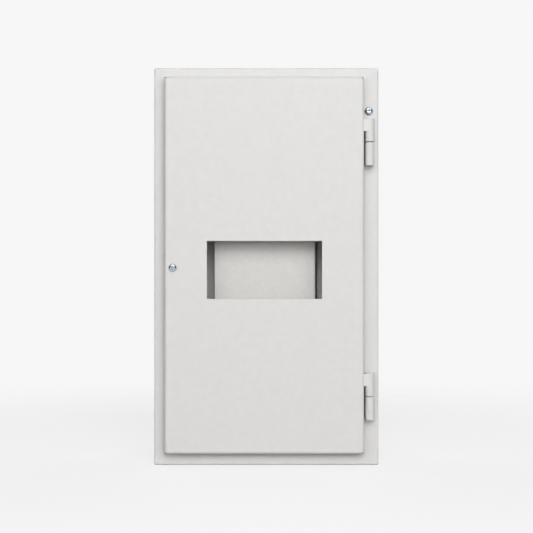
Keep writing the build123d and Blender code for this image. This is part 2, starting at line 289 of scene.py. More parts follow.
def natural_nylon(settings):
    """Moulded polyamide 6.6 in its natural colour: milky, a little translucent, with a soft sheen."""
    material, tree, output = blank_material("natural_polyamide")
    place = node(tree, "ShaderNodeTexCoord").outputs["Object"]
    flow = node(tree, "ShaderNodeTexNoise", {
        "Vector": place, "Scale": per_metre(1.5), "Detail": 2.0, "Roughness": 0.5,
    })
    tone = node(tree, "ShaderNodeValToRGB", {"Fac": flow.outputs["Fac"]})
    tone.color_ramp.elements[0].position = 0.35
    tone.color_ramp.elements[0].color = shade(settings.nylon_colour, 0.93)
    tone.color_ramp.elements[1].position = 0.65
    tone.color_ramp.elements[1].color = rgba(settings.nylon_colour)
    relief = node(tree, "ShaderNodeBump", {
        "Height": flow.outputs["Fac"], "Strength": 0.2, "Distance": 0.03 * MM,
    })
    plastic = node(tree, "ShaderNodeBsdfPrincipled", {
        "Base Color": tone.outputs["Color"], "Roughness": 0.38, "IOR": 1.53,
        "Normal": relief.outputs["Normal"],
    })
    tree.links.new(plastic.outputs["BSDF"], output.inputs["Surface"])
    return material


def galvanised_sheet(settings):
    """Hot-dip galvanised sheet, skin-passed and passivated: a dull, even light grey with a faint small
    spangle, whose crystals differ a little in tone and in gloss. Its grey is a shade darker than the
    powder coat: partly the sheet's own tone, and partly painted shade for the recess behind the door's
    window."""
    material, tree, output = blank_material("galvanised_sheet")
    place = node(tree, "ShaderNodeTexCoord").outputs["Object"]
    spangle = node(tree, "ShaderNodeTexVoronoi", {"Vector": place, "Scale": per_metre(settings.spangle_mm)})
    crystal = node(tree, "ShaderNodeSeparateXYZ", {0: spangle.outputs["Color"]})
    haze = node(tree, "ShaderNodeTexNoise", {
        "Vector": place, "Scale": per_metre(9.0), "Detail": 3.0, "Roughness": 0.6,
    })
    blend = node(tree, "ShaderNodeMath", {
        0: crystal.outputs["X"], 1: haze.outputs["Fac"]}, operation="ADD")
    tone = node(tree, "ShaderNodeMapRange", {"Value": blend.outputs[0], "From Max": 2.0})
    colour = node(tree, "ShaderNodeValToRGB", {"Fac": tone.outputs["Result"]})
    # the plate's grey is partly the sheet's own tone and partly painted shade for the recess behind the
    # window
    colour.color_ramp.elements[0].position = 0.2
    colour.color_ramp.elements[0].color = shade(settings.galvanised_and_shade_colour, 0.96)
    colour.color_ramp.elements[1].position = 0.8
    colour.color_ramp.elements[1].color = shade(settings.galvanised_and_shade_colour, 1.02)
    gloss = node(tree, "ShaderNodeMapRange", {
        "Value": crystal.outputs["Y"], "To Min": 0.5, "To Max": 0.62,
    })
    relief = node(tree, "ShaderNodeBump", {
        "Height": haze.outputs["Fac"], "Strength": 0.15, "Distance": 0.05 * MM,
    })
    sheet = node(tree, "ShaderNodeBsdfPrincipled", {
        "Base Color": colour.outputs["Color"], "Metallic": 0.2, "Roughness": gloss.outputs["Result"],
        "Normal": relief.outputs["Normal"],
    })
    tree.links.new(sheet.outputs["BSDF"], output.inputs["Surface"])
    return material


FINISHES = {
    "powder_coat": powder_coat,
    "galvanised_steel": galvanised_sheet,
    "zinc_fastener": bright_zinc,
    "bright_steel": drawn_steel,
    "brass": turned_brass,
    "nylon": natural_nylon,
}
made_finishes = {}


def finish_for(slot):
    """The one material of a slot, made the first time that it is asked for."""
    if slot not in made_finishes:
        made_finishes[slot] = FINISHES[slot](bpy.context.scene.enclosure_finish)
    return made_finishes[slot]


# Meshes


def deliver(piece, body, slot, replaced=()):
    """Gives a finished piece its slot's material, puts it on its body, and hides what it stands for."""
    piece.data.materials.clear()
    piece.data.materials.append(finish_for(slot))
    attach(piece, body)
    if replaced:
        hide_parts(*replaced)


def new_piece(name, mesh):
    """An object with that mesh, at the origin."""
    piece = bpy.data.objects.new(name, mesh)
    bpy.context.scene.collection.objects.link(piece)
    return piece


def softened_copy(name, cad_node, edge, segments=2):
    """A welded copy of a CAD node, its flat faces made whole and its sharp edges rounded as a coat
    of paint or a tumbled edge rounds them."""
    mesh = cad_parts[cad_node].data.copy()
    mesh.name = name
    shell = bmesh.new()
    shell.from_mesh(mesh)
    bmesh.ops.remove_doubles(shell, verts=shell.verts, dist=SAME_POINT)
    bmesh.ops.dissolve_limit(
        shell, angle_limit=FLAT_ANGLE, verts=shell.verts, edges=shell.edges,
        delimit={"NORMAL"},
    )
    sharp = [e for e in shell.edges if e.is_manifold and e.calc_face_angle(0) > SMOOTH_ANGLE]
    if edge:
        bmesh.ops.bevel(
            shell, geom=sharp, offset=edge, offset_type="OFFSET", segments=segments, profile=0.5,
            affect="EDGES", clamp_overlap=True,
        )
    bmesh.ops.triangulate(shell, faces=[f for f in shell.faces if len(f.verts) > 4])
    for face in shell.faces:
        face.smooth = True
    for rim in shell.edges:
        rim.smooth = not rim.is_manifold or rim.calc_face_angle(0) < SMOOTH_ANGLE
    shell.to_mesh(mesh)
    shell.free()
    piece = new_piece(name, mesh)
    weighted = piece.modifiers.new("flat_faces_lead", "WEIGHTED_NORMAL")
    weighted.mode = "FACE_AREA"
    weighted.weight = 100
    weighted.keep_sharp = True
    evaluated = piece.evaluated_get(bpy.context.evaluated_depsgraph_get())
    finished = bpy.data.meshes.new_from_object(evaluated)
    piece.modifiers.clear()
    piece.data = finished
    bpy.data.meshes.remove(mesh)
    return piece


# Geometry-node trees


def group_tree(name, sockets):
    """A geometry-node tree with a float input for each named size and a geometry output."""
    tree = bpy.data.node_groups.new(name, "GeometryNodeTree")
    tree.interface.new_socket("Geometry", in_out="INPUT", socket_type="NodeSocketGeometry")
    for label, default in sockets.items():
        made = tree.interface.new_socket(label, in_out="INPUT", socket_type="NodeSocketFloat")
        made.default_value = default
    material = tree.interface.new_socket("Material", in_out="INPUT", socket_type="NodeSocketMaterial")
    material.description = "Finish of the made piece"
    tree.interface.new_socket("Geometry", in_out="OUTPUT", socket_type="NodeSocketGeometry")
    return tree, node(tree, "NodeGroupInput"), node(tree, "NodeGroupOutput")


def close_tree(tree, entry, exit_node, geometry):
    """Ends a tree in Realize Instances and Set Material."""
    real = node(tree, "GeometryNodeRealizeInstances", {"Geometry": geometry})
    painted = node(tree, "GeometryNodeSetMaterial", {
        "Geometry": real.outputs["Geometry"], "Material": entry.outputs["Material"],
    })
    tree.links.new(painted.outputs["Geometry"], exit_node.inputs["Geometry"])


def grown(name, tree, points, values, slot):
    """The plain mesh that a tree makes on a set of points, with its inputs set by identifier."""
    seed_mesh = bpy.data.meshes.new(f"{name}_points")
    seed_mesh.from_pydata(points, [], [])
    host = new_piece(name, seed_mesh)
    modifier = host.modifiers.new("grow", "NODES")
    modifier.node_group = tree
    settings = dict(values, Material=finish_for(slot))
    for item in tree.interface.items_tree:
        if item.item_type == "SOCKET" and item.in_out == "INPUT" and item.name in settings:
            modifier[item.identifier] = settings[item.name]
    host.update_tag()
    bpy.context.view_layer.update()
    evaluated = host.evaluated_get(bpy.context.evaluated_depsgraph_get())
    mesh = bpy.data.meshes.new_from_object(evaluated)
    host.modifiers.clear()
    host.data = mesh
    bpy.data.meshes.remove(seed_mesh)
    return host


def thread_tree():
    """A threaded rod along Y from each point: a fine cylinder whose wall is pushed in by a triangular
    wave that climbs one pitch in each turn, with a chamfered tip."""
    tree, entry, leave = group_tree("thread", {
        "Radius": M5, "Length": 100 * MM, "Pitch": 0.8 * MM, "Depth": 0.4 * MM,
        "Tip": 0.8 * MM, "Rings per pitch": 4.0, "Aim": -1.0,
    })
    value = entry.outputs
    turns = node(tree, "ShaderNodeMath", {0: value["Length"], 1: value["Pitch"]}, operation="DIVIDE")
    rings = node(tree, "ShaderNodeMath", {
        0: turns.outputs[0], 1: value["Rings per pitch"]}, operation="MULTIPLY")
    rod = node(tree, "GeometryNodeMeshCylinder", {
        "Vertices": 24, "Side Segments": rings.outputs[0],
        "Radius": value["Radius"], "Depth": value["Length"],
    })
    place = node(tree, "GeometryNodeInputPosition")
    part = node(tree, "ShaderNodeSeparateXYZ", {0: place.outputs[0]}).outputs
    angle = node(tree, "ShaderNodeMath", {0: part["Y"], 1: part["X"]}, operation="ARCTAN2")
    turn = node(tree, "ShaderNodeMath", {0: angle.outputs[0], 1: 2 * math.pi}, operation="DIVIDE")
    climb = node(tree, "ShaderNodeMath", {0: part["Z"], 1: value["Pitch"]}, operation="DIVIDE")
    phase = node(tree, "ShaderNodeMath", {0: climb.outputs[0], 1: turn.outputs[0]}, operation="SUBTRACT")
    wave = node(tree, "ShaderNodeMath", {0: phase.outputs[0], 1: 0.5}, operation="PINGPONG")
    twice = node(tree, "ShaderNodeMath", {0: value["Depth"], 1: 2.0}, operation="MULTIPLY")
    groove = node(tree, "ShaderNodeMath", {0: wave.outputs[0], 1: twice.outputs[0]}, operation="MULTIPLY")
    half = node(tree, "ShaderNodeMath", {0: value["Length"], 1: 0.5}, operation="MULTIPLY")
    tip_start = node(tree, "ShaderNodeMath", {
        0: half.outputs[0], 1: value["Tip"]}, operation="SUBTRACT")
    chamfer = node(tree, "ShaderNodeMath", {0: part["Z"], 1: tip_start.outputs[0]}, operation="SUBTRACT")
    inset = node(tree, "ShaderNodeMath", {
        0: groove.outputs[0], 1: chamfer.outputs[0]}, operation="MAXIMUM")
    inwards = node(tree, "ShaderNodeMath", {0: inset.outputs[0], 1: -1.0}, operation="MULTIPLY")
    across = node(tree, "ShaderNodeCombineXYZ", {"X": part["X"], "Y": part["Y"]})
    outward = node(tree, "ShaderNodeVectorMath", {0: across.outputs[0]}, operation="NORMALIZE")
    shift = node(tree, "ShaderNodeVectorMath", {
        0: outward.outputs[0], "Scale": inwards.outputs[0]}, operation="SCALE")
    cut = node(tree, "GeometryNodeSetPosition", {
        "Geometry": rod.outputs["Mesh"], "Offset": shift.outputs[0]})
    lift = node(tree, "ShaderNodeCombineXYZ", {"Z": half.outputs[0]})
    based = node(tree, "GeometryNodeTransform", {
        "Geometry": cut.outputs["Geometry"], "Translation": lift.outputs[0]})
    swing = node(tree, "ShaderNodeMath", {0: value["Aim"], 1: -math.pi / 2}, operation="MULTIPLY")
    aim = node(tree, "ShaderNodeCombineXYZ", {"X": swing.outputs[0]})
    aimed = node(tree, "GeometryNodeTransform", {
        "Geometry": based.outputs["Geometry"], "Rotation": aim.outputs[0]})
    placed = node(tree, "GeometryNodeInstanceOnPoints", {
        "Points": value["Geometry"], "Instance": aimed.outputs["Geometry"]})
    close_tree(tree, entry, leave, placed.outputs["Instances"])
    return tree


def repeat_tree():
    """Copies of a template on each point, each turned about Y by its own angle from a fixed seed."""
    tree, entry, leave = group_tree("repeat", {"Most turn": SPANNER_TURN})
    template = tree.interface.new_socket("Template", in_out="INPUT", socket_type="NodeSocketObject")
    template.description = "Object that is copied"
    seed = tree.interface.new_socket("Seed", in_out="INPUT", socket_type="NodeSocketInt")
    seed.default_value = 7
    value = entry.outputs
    source = node(tree, "GeometryNodeObjectInfo", {"Object": value["Template"]})
    turn = node(tree, "FunctionNodeRandomValue", {"Seed": value["Seed"]}, data_type="FLOAT")
    tree.links.new(value["Most turn"], turn.inputs[3])
    spin = node(tree, "ShaderNodeCombineXYZ", {"Y": turn.outputs[1]})
    placed = node(tree, "GeometryNodeInstanceOnPoints", {
        "Points": value["Geometry"], "Instance": source.outputs["Geometry"],
        "Rotation": spin.outputs[0],
    })
    close_tree(tree, entry, leave, placed.outputs["Instances"])
    return tree


def bead_tree():
    """A weld bead from each point down along Z: overlapping flat drops, one for each dab of the torch."""
    tree, entry, leave = group_tree("weld_bead", {
        "Length": 20 * MM, "Dab": 1.4 * MM, "Radius": 1.3 * MM,
    })
    value = entry.outputs
    dabs = node(tree, "ShaderNodeMath", {0: value["Length"], 1: value["Dab"]}, operation="DIVIDE")
    down = node(tree, "ShaderNodeMath", {0: value["Dab"], 1: -1.0}, operation="MULTIPLY")
    step = node(tree, "ShaderNodeCombineXYZ", {"Z": down.outputs[0]})
    row = node(tree, "GeometryNodeMeshLine", {"Count": dabs.outputs[0], "Offset": step.outputs[0]})
    drop = node(tree, "GeometryNodeMeshUVSphere", {
        "Segments": 16, "Rings": 10, "Radius": value["Radius"]})
    size = node(tree, "FunctionNodeRandomValue", {"Seed": 3}, data_type="FLOAT")
    size.inputs[2].default_value = 0.9
    size.inputs[3].default_value = 1.1
    dabbed = node(tree, "GeometryNodeInstanceOnPoints", {
        "Points": row.outputs["Mesh"], "Instance": drop.outputs["Mesh"], "Scale": size.outputs[1]})
    bead = node(tree, "GeometryNodeRealizeInstances", {"Geometry": dabbed.outputs["Instances"]})
    placed = node(tree, "GeometryNodeInstanceOnPoints", {
        "Points": value["Geometry"], "Instance": bead.outputs["Geometry"]})
    close_tree(tree, entry, leave, placed.outputs["Instances"])
    return tree


def shaded_smooth(piece):
    """Smooth faces with sharp edges where the surface really turns."""
    for face in piece.data.polygons:
        face.use_smooth = True
    piece.data.set_sharp_from_angle(angle=SMOOTH_ANGLE)


def hexagon_nut_mesh(name, flats, height, bore):
    """A hexagon nut along Y from y 0 to -height, its corners chamfered by a 30-degree cone and its
    bore countersunk, as an automatic lathe leaves it."""
    samples = 48
    rim = 0.48 * flats
    sink = 0.4 * MM
    slope = math.tan(math.radians(30))
    nut = bmesh.new()
    rings = []
    for step in range(samples):
        angle = 2 * math.pi * step / samples
        reach = flats / 2 / math.cos((angle + math.pi / 6) % (math.pi / 3) - math.pi / 6)
        drop = (reach - rim) * slope
        profile = (
            (bore + sink, 0.0), (rim, 0.0), (reach, drop), (reach, height - drop),
            (rim, height), (bore + sink, height), (bore, height - sink), (bore, sink),
        )
        rings.append([
            nut.verts.new((radius * math.cos(angle), -depth, radius * math.sin(angle)))
            for radius, depth in profile
        ])
    for here, after in zip(rings, rings[1:] + rings[:1]):
        for index in range(len(here)):
            following = (index + 1) % len(here)
            nut.faces.new((here[index], after[index], after[following], here[following]))
    bmesh.ops.recalc_face_normals(nut, faces=nut.faces)
    mesh = bpy.data.meshes.new(name)
    nut.to_mesh(mesh)
    nut.free()
    return mesh


def weld_flash_mesh(name, radius):
    """The low ring of melted steel round a stud's foot, along -Y from the wall."""
    samples = 40
    profile = ((0.98, 0.5), (1.12, 0.42), (1.26, 0.24), (1.36, 0.0))
    ring = bmesh.new()
    rings = []
    for step in range(samples):
        angle = 2 * math.pi * step / samples
        uneven = 1.0 + 0.02 * math.sin(5 * angle) + 0.015 * math.sin(11 * angle + 1.3)
        rings.append([
            ring.verts.new((
                share * radius * uneven * math.cos(angle), -height * MM,
                share * radius * uneven * math.sin(angle),
            ))
            for share, height in profile
        ])
    for here, after in zip(rings, rings[1:] + rings[:1]):
        for index in range(len(here) - 1):
            ring.faces.new((here[index], after[index], after[index + 1], here[index + 1]))
    bmesh.ops.contextual_create(ring, geom=[row[0] for row in rings])
    bmesh.ops.contextual_create(ring, geom=[row[-1] for row in rings])
    bmesh.ops.recalc_face_normals(ring, faces=ring.faces)
    mesh = bpy.data.meshes.new(name)
    ring.to_mesh(mesh)
    ring.free()
    return mesh


def copies(name, template_mesh, points, most_turn, slot):
    """The template's mesh on each of the points, as one plain mesh."""
    template = new_piece(f"{name}_template", template_mesh)
    made = grown(name, repeat_tree(), points, {"Template": template, "Most turn": most_turn}, slot)
    bpy.data.objects.remove(template)
    shaded_smooth(made)
    return made


def joined(name, *pieces):
    """Several plain pieces as one mesh."""
    whole = bmesh.new()
    for piece in pieces:
        whole.from_mesh(piece.data)
    mesh = bpy.data.meshes.new(name)
    whole.to_mesh(mesh)
    whole.free()
    for piece in pieces:
        bpy.data.objects.remove(piece)
    return new_piece(name, mesh)


def middle(cad_node):
    """The middle of a node's box."""
    low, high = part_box(cad_node)
    return [(a + b) / 2 for a, b in zip(low, high)]


def at_depth(cad_node, y):
    """The point on a node's axis at that depth."""
    x, _, z = middle(cad_node)
    return (x, y, z)


# What a user would change


class EnclosureFinish(bpy.types.PropertyGroup):
    """Colours and textures of the enclosure."""

    powder_colour: bpy.props.FloatVectorProperty(
        name="Powder coat", description="Colour of the sprayed steel", subtype="COLOR",
        default=hex_default("D8D7D5"), min=0, max=1)
    zinc_colour: bpy.props.FloatVectorProperty(
        name="Zinc", description="Colour of the plated fasteners", subtype="COLOR",
        default=hex_default("BFC9D5"), min=0, max=1)
    steel_colour: bpy.props.FloatVectorProperty(
        name="Steel", description="Colour of the studs and hinge pins", subtype="COLOR",
        default=hex_default("BDBAB6"), min=0, max=1)
    brass_colour: bpy.props.FloatVectorProperty(
        name="Brass", description="Colour of the earth nuts and washers", subtype="COLOR",
        default=hex_default("D6AC5C"), min=0, max=1)
    nylon_colour: bpy.props.FloatVectorProperty(
        name="Nylon", description="Colour of the screw's retaining washer", subtype="COLOR",
        default=hex_default("E4E0D4"), min=0, max=1)
    # the plate's grey is partly the sheet's own tone and partly painted shade for the recess behind the
    # window
    galvanised_and_shade_colour: bpy.props.FloatVectorProperty(
        name="Galvanised steel", description="Colour of the mounting plate", subtype="COLOR",
        default=hex_default("CECDCA"), min=0, max=1)
    spangle_mm: bpy.props.FloatProperty(
        name="Spangle", description="Size of the plate's zinc crystals, in millimetres", default=2.5)
    mottle_mm: bpy.props.FloatProperty(
        name="Mottle", description="Spacing of the coat's faint clouds, in millimetres", default=6.0)
    peel_mm: bpy.props.FloatProperty(
        name="Orange peel", description="Spacing of the coat's hills, in millimetres", default=3.0)
    grain_mm: bpy.props.FloatProperty(
        name="Grain", description="Size of the coat's grain, in millimetres", default=0.8)
    coat_edge: bpy.props.FloatProperty(
        name="Coated edge", description="Radius of a painted sheet edge", default=0.25 * MM,
        unit="LENGTH")


class EnclosureThreads(bpy.types.PropertyGroup):
    """Thread sizes of the studs and screws."""

    stud_pitch: bpy.props.FloatProperty(
        name="Plate stud pitch", description="M5 coarse pitch", default=0.8 * MM, unit="LENGTH")
    screw_pitch: bpy.props.FloatProperty(
        name="Screw pitch", description="M4 coarse pitch", default=0.7 * MM, unit="LENGTH")
    earth_pitch: bpy.props.FloatProperty(
        name="Earth stud pitch", description="M6 coarse pitch", default=1.0 * MM, unit="LENGTH")


class EnclosureStage(bpy.types.PropertyGroup):
    """Camera, lights and floor."""

    lens: bpy.props.FloatProperty(
        name="Lens", description="Focal length on a 36 mm sensor", default=85.0, unit="CAMERA")
    distance: bpy.props.FloatProperty(
        name="Distance", description="From the camera to the border's face", default=1.268, unit="LENGTH")
    front_power: bpy.props.FloatProperty(
        name="Front light", description="Power of the softbox at the camera", default=15.0, unit="POWER")
    left_power: bpy.props.FloatProperty(
        name="Left light", description="Power of the softbox left of the camera", default=11.5,
        unit="POWER")
    right_power: bpy.props.FloatProperty(
        name="Right light", description="Power of the softbox right of the camera", default=14.5,
        unit="POWER")
    broad_power: bpy.props.FloatProperty(
        name="Broad light", description="Power of the wide softbox", default=5.0, unit="POWER")
    overhead_power: bpy.props.FloatProperty(
        name="Overhead light", description="Power of the softbox over the camera", default=22.0,
        unit="POWER")
    rear_power: bpy.props.FloatProperty(
        name="Rear lights", description="Power of each softbox behind the box", default=30.0, unit="POWER")
    ambient: bpy.props.FloatProperty(
        name="Ambient", description="Strength of the light from all round", default=0.05)
    floor_glow: bpy.props.FloatProperty(
        name="Floor brightness", description="What the floor shows beside its lit colour", default=0.76)
    background: bpy.props.FloatVectorProperty(
        name="Background", description="Colour behind the object", subtype="COLOR",
        default=hex_default("F7F7F7"), min=0, max=1)


# One operator for each group of pieces


class ENCLOSURE_OT_box(bpy.types.Operator):
    """Finish the folded box as one coated sheet-steel shell"""

    bl_idname = "enclosure.box"
    bl_label = "Box"

    def execute(self, context):
        edge = context.scene.enclosure_finish.coat_edge
        deliver(softened_copy("coated_box", "box_body", edge), "root", "powder_coat", ["box_body"])
        return {"FINISHED"}


class ENCLOSURE_OT_door(bpy.types.Operator):
    """Finish the folded door pan"""

    bl_idname = "enclosure.door"
    bl_label = "Door"

    def execute(self, context):
        edge = context.scene.enclosure_finish.coat_edge
        deliver(softened_copy("coated_door", "door_panel", edge), "door", "powder_coat", ["door_panel"])
        return {"FINISHED"}


class ENCLOSURE_OT_plate(bpy.types.Operator):
    """Finish the mounting plate"""

    bl_idname = "enclosure.plate"
    bl_label = "Mounting plate"

    def execute(self, context):
        edge = context.scene.enclosure_finish.coat_edge
        plate = softened_copy("coated_plate", "mounting_plate", edge)
        deliver(plate, "plate", "galvanised_steel", ["mounting_plate"])
        return {"FINISHED"}


class ENCLOSURE_OT_hinges(bpy.types.Operator):
    """Finish the hinges' knuckles and pins, and weld them on"""

    bl_idname = "enclosure.hinges"
    bl_label = "Hinges"

    def execute(self, context):
        edge = context.scene.enclosure_finish.coat_edge
        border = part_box("box_body")[0][1]
        beads = []
        for name in HINGES:
            knuckle = softened_copy(f"coated_frame_knuckle_{name}", f"frame_knuckle_{name}", edge)
            deliver(knuckle, "root", "powder_coat", [f"frame_knuckle_{name}"])
            knuckle = softened_copy(f"coated_door_knuckle_{name}", f"door_knuckle_{name}", edge)
            deliver(knuckle, "door", "powder_coat", [f"door_knuckle_{name}"])
            pin = softened_copy(f"bright_hinge_pin_{name}", f"hinge_pin_{name}", PIN_EDGE)
            deliver(pin, "root", "bright_steel", [f"hinge_pin_{name}"])
            low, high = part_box(f"frame_knuckle_{name}")
            axis_x = (low[0] + high[0]) / 2
            for side in (-1, 1):
                beads.append((axis_x + side * BEAD_ASIDE, border, high[2] - BEAD_BELOW))
        bead = grown("hinge_weld_beads", bead_tree(), beads, {"Length": BEAD_LENGTH}, "powder_coat")
        shaded_smooth(bead)
        deliver(bead, "root", "powder_coat")
        return {"FINISHED"}


class ENCLOSURE_OT_studs(bpy.types.Operator):
    """Cut the threads of the plate studs and earth studs, with the weld flash round their feet"""

    bl_idname = "enclosure.studs"
    bl_label = "Studs"

    def execute(self, context):
        sizes = context.scene.enclosure_threads
        tree = thread_tree()
        groups = (
            ("plate_studs", "root", [f"plate_stud_{c}" for c in CORNERS], sizes.stud_pitch, -1.0),
            ("box_earth_stud_thread", "root", ["box_earth_stud"], sizes.earth_pitch, -1.0),
            ("door_earth_stud_thread", "door", ["door_earth_stud"], sizes.earth_pitch, 1.0),
        )
        for name, body, nodes, pitch, aim in groups:
            low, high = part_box(nodes[0])
            base = high[1] if aim < 0 else low[1]
            radius = (high[0] - low[0]) / 2
            feet = [at_depth(n, base) for n in nodes]
            rods = grown(f"{name}_rods", tree, feet, {
                "Radius": radius, "Length": high[1] - low[1], "Pitch": pitch,
                "Depth": THREAD_DEPTH * pitch, "Tip": THREAD_TIP * pitch, "Aim": aim,
            }, "bright_steel")
            flash_mesh = weld_flash_mesh(f"{name}_flash", radius)
            if aim > 0:
                flash_mesh.transform(Matrix.Rotation(math.pi, 4, "Z"))
            flashes = copies(f"{name}_flashes", flash_mesh, feet, 0.0, "bright_steel")
            studs = joined(name, rods, flashes)
            shaded_smooth(studs)
            deliver(studs, body, "bright_steel", nodes)
        return {"FINISHED"}


class ENCLOSURE_OT_nuts(bpy.types.Operator):
    """Turn and chamfer the nuts of the plate, the earth studs and the earth screw"""

    bl_idname = "enclosure.nuts"
    bl_label = "Nuts"

    def execute(self, context):
        plate_nuts = [f"{piece}_{c}" for c in CORNERS for piece in ("rear_nut", "front_nut")]
        groups = (
            ("plate_nuts", "plate", plate_nuts, "zinc_fastener", M5),
            ("box_earth_brass_nut", "root", ["box_earth_nut"], "brass", M6),
            ("door_earth_brass_nut", "door", ["door_earth_nut"], "brass", M6),
            ("earth_screw_weld_nut", "root", ["earth_weld_nut"], "zinc_fastener", M4),
        )
        for name, body, nodes, slot, bore in groups:
            low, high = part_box(nodes[0])
            mesh = hexagon_nut_mesh(f"{name}_one", high[2] - low[2], high[1] - low[1], bore)
            places = [at_depth(n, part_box(n)[1][1]) for n in nodes]
            deliver(copies(name, mesh, places, SPANNER_TURN, slot), body, slot, nodes)
        return {"FINISHED"}


class ENCLOSURE_OT_washers(bpy.types.Operator):
    """Finish the washers, stamped brass and zinc-plated steel, and the nylon one"""

    bl_idname = "enclosure.washers"
    bl_label = "Washers"

    def execute(self, context):
        for corner in CORNERS:
            name = f"plate_washer_{corner}"
            washer = softened_copy(f"plated_{name}", name, TUMBLED_EDGE)
            deliver(washer, "plate", "zinc_fastener", [name])
        for name, body in (("box_earth_washer", "root"), ("door_earth_washer", "door")):
            deliver(softened_copy(f"brass_{name}", name, TUMBLED_EDGE), body, "brass", [name])
        keeper = softened_copy("nylon_retaining_washer", "retaining_washer", TUMBLED_EDGE)
        deliver(keeper, "screw_keeper", "nylon", ["retaining_washer"])
        return {"FINISHED"}


class ENCLOSURE_OT_screws(bpy.types.Operator):
    """Finish the closing screw, the earth screw and the rivet nut, with real threads"""

    bl_idname = "enclosure.screws"
    bl_label = "Screws"

    def execute(self, context):
        pitch = context.scene.enclosure_threads.screw_pitch
        depth = THREAD_DEPTH * pitch
        core = M4 - depth
        tree = thread_tree()
        for name, body in (("closing_screw", "closing_screw"), ("earth_screw", "root")):
            thread = SCREW_THREADS[name]
            blank = softened_copy(f"{name}_blank", name, TUMBLED_EDGE)
            x, _, z = middle(name)
            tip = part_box(name)[1][1]
            # the shank under the thread is taken down to the thread's core
            for vertex in blank.data.vertices:
                across = Vector((vertex.co.x - x, 0.0, vertex.co.z - z))
                in_thread = tip - thread + THREAD_START < vertex.co.y
                if in_thread and across.length > core:
                    across *= core / across.length
                    vertex.co = (x + across.x, vertex.co.y, z + across.z)
            rod = grown(f"{name}_thread", tree, [(x, tip - thread, z)], {
                "Radius": M4, "Length": thread, "Pitch": pitch, "Depth": depth,
                "Tip": SCREW_TIP, "Rings per pitch": 6.0, "Aim": 1.0,
            }, "zinc_fastener")
            screw = joined(f"plated_{name}", blank, rod)
            shaded_smooth(screw)
            deliver(screw, body, "zinc_fastener", [name])
        rivet = softened_copy("plated_rivet_nut", "closing_rivet_nut", TUMBLED_EDGE)
        deliver(rivet, "root", "zinc_fastener", ["closing_rivet_nut"])
        return {"FINISHED"}


